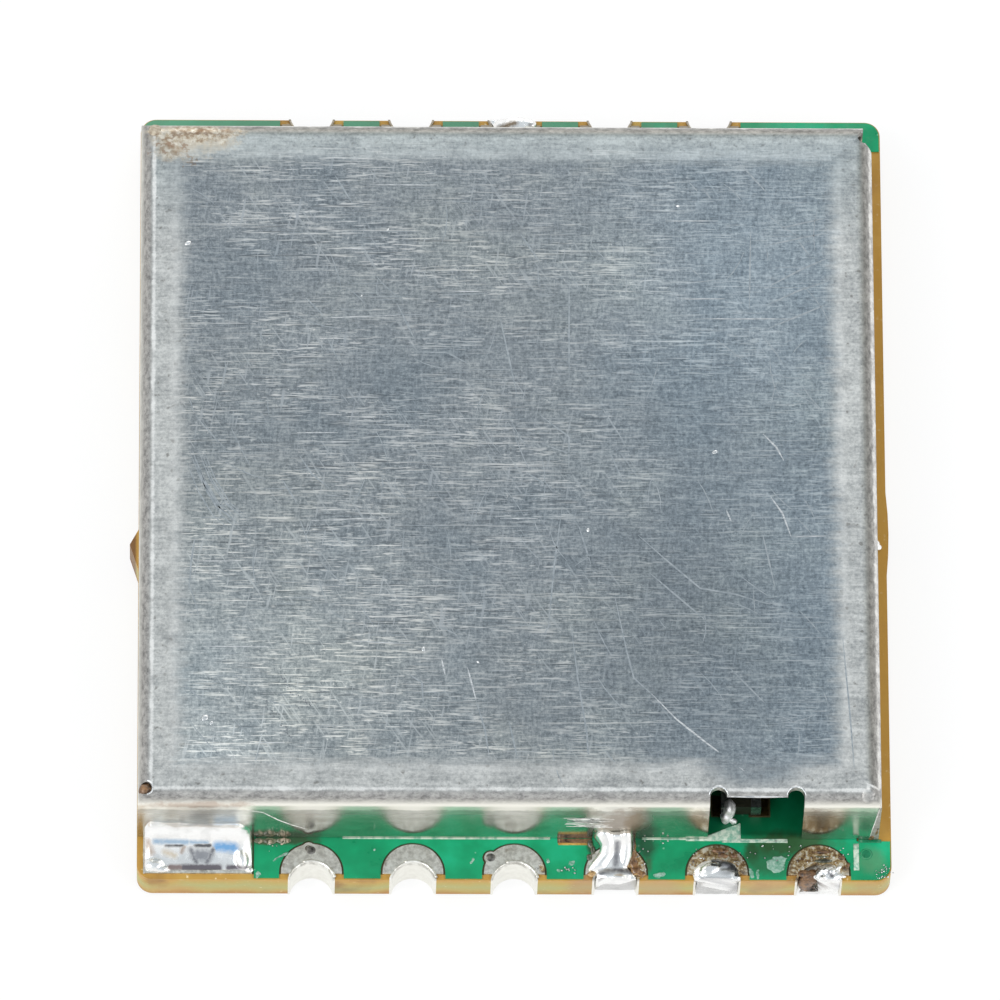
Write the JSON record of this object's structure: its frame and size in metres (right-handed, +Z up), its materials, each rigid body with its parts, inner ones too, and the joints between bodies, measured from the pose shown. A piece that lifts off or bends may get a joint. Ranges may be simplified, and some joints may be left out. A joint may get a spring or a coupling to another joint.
{
  "type": "fpv video transmitter module",
  "caption": "Small castellated radio transmitter board under a folded tin shield can, with plated half-hole terminals on its front and back edges and a window over the antenna terminal.",
  "frame": {"origin": "middle of the board's underside, at the level of the bottom lands", "axes": "+X to the right along the front edge, +Y from the front terminals to the back ones, +Z up out of the shield can"},
  "size_m": [0.0192, 0.021, 0.0034],
  "materials": {
    "laminate": "glass-epoxy laminate, routed edges",
    "solder_mask": "glossy green solder mask",
    "white_ink": "printed white ink",
    "tinned_copper": "tinned copper, satin",
    "gold_plate": "thin gold plate on copper",
    "tin_plated_sheet": "tin-plated sheet, brushed and scratched",
    "solder": "bright reflowed solder",
    "chip_resin": "black moulded resin",
    "lead_frame": "tinned copper leads",
    "pale_ceramic": "matt fired ceramic",
    "crystal_cover": "welded metal lid",
    "tan_ceramic": "fired tan ceramic",
    "resistor_black": "glazed black film",
    "ferrite_blue": "glazed ferrite",
    "tinned_ends": "tinned end caps"
  },
  "bodies": {
    "root": {"circuit_board": "laminate", "solder_mask_top": "solder_mask", "solder_mask_bottom": "solder_mask", "silkscreen_marks": "white_ink", "terminal_front_1": "tinned_copper", "terminal_front_2": "tinned_copper", "terminal_front_3": "tinned_copper", "terminal_front_4": "tinned_copper", "terminal_front_5": "tinned_copper", "terminal_front_6": "tinned_copper", "terminal_back_1": "tinned_copper", "terminal_back_2": "tinned_copper", "terminal_back_3": "tinned_copper", "terminal_back_4": "tinned_copper", "terminal_back_5": "tinned_copper", "ground_pad": "tinned_copper", "can_land_left": "tinned_copper", "can_land_right": "tinned_copper", "component_lands": "gold_plate", "shield_can": "tin_plated_sheet", "ground_pad_solder": "solder", "bridge_solder": "solder", "antenna_terminal_solder": "solder", "last_terminal_solder": "solder", "back_terminal_solder": "solder", "can_solder_tack": "solder", "transmitter_chip": "chip_resin", "amplifier_chip": "chip_resin", "regulator_body": "chip_resin", "transmitter_leads": "lead_frame", "amplifier_leads": "lead_frame", "regulator_leads": "lead_frame", "crystal_base": "pale_ceramic", "filter_body": "pale_ceramic", "crystal_lid": "crystal_cover", "capacitor_bodies": "tan_ceramic", "bulk_capacitor_bodies": "tan_ceramic", "resistor_bodies": "resistor_black", "inductor_bodies": "ferrite_blue", "filter_ends": "tinned_ends", "capacitor_ends": "tinned_ends", "resistor_ends": "tinned_ends", "inductor_ends": "tinned_ends", "bulk_capacitor_ends": "tinned_ends"}
  },
  "joints": []
}
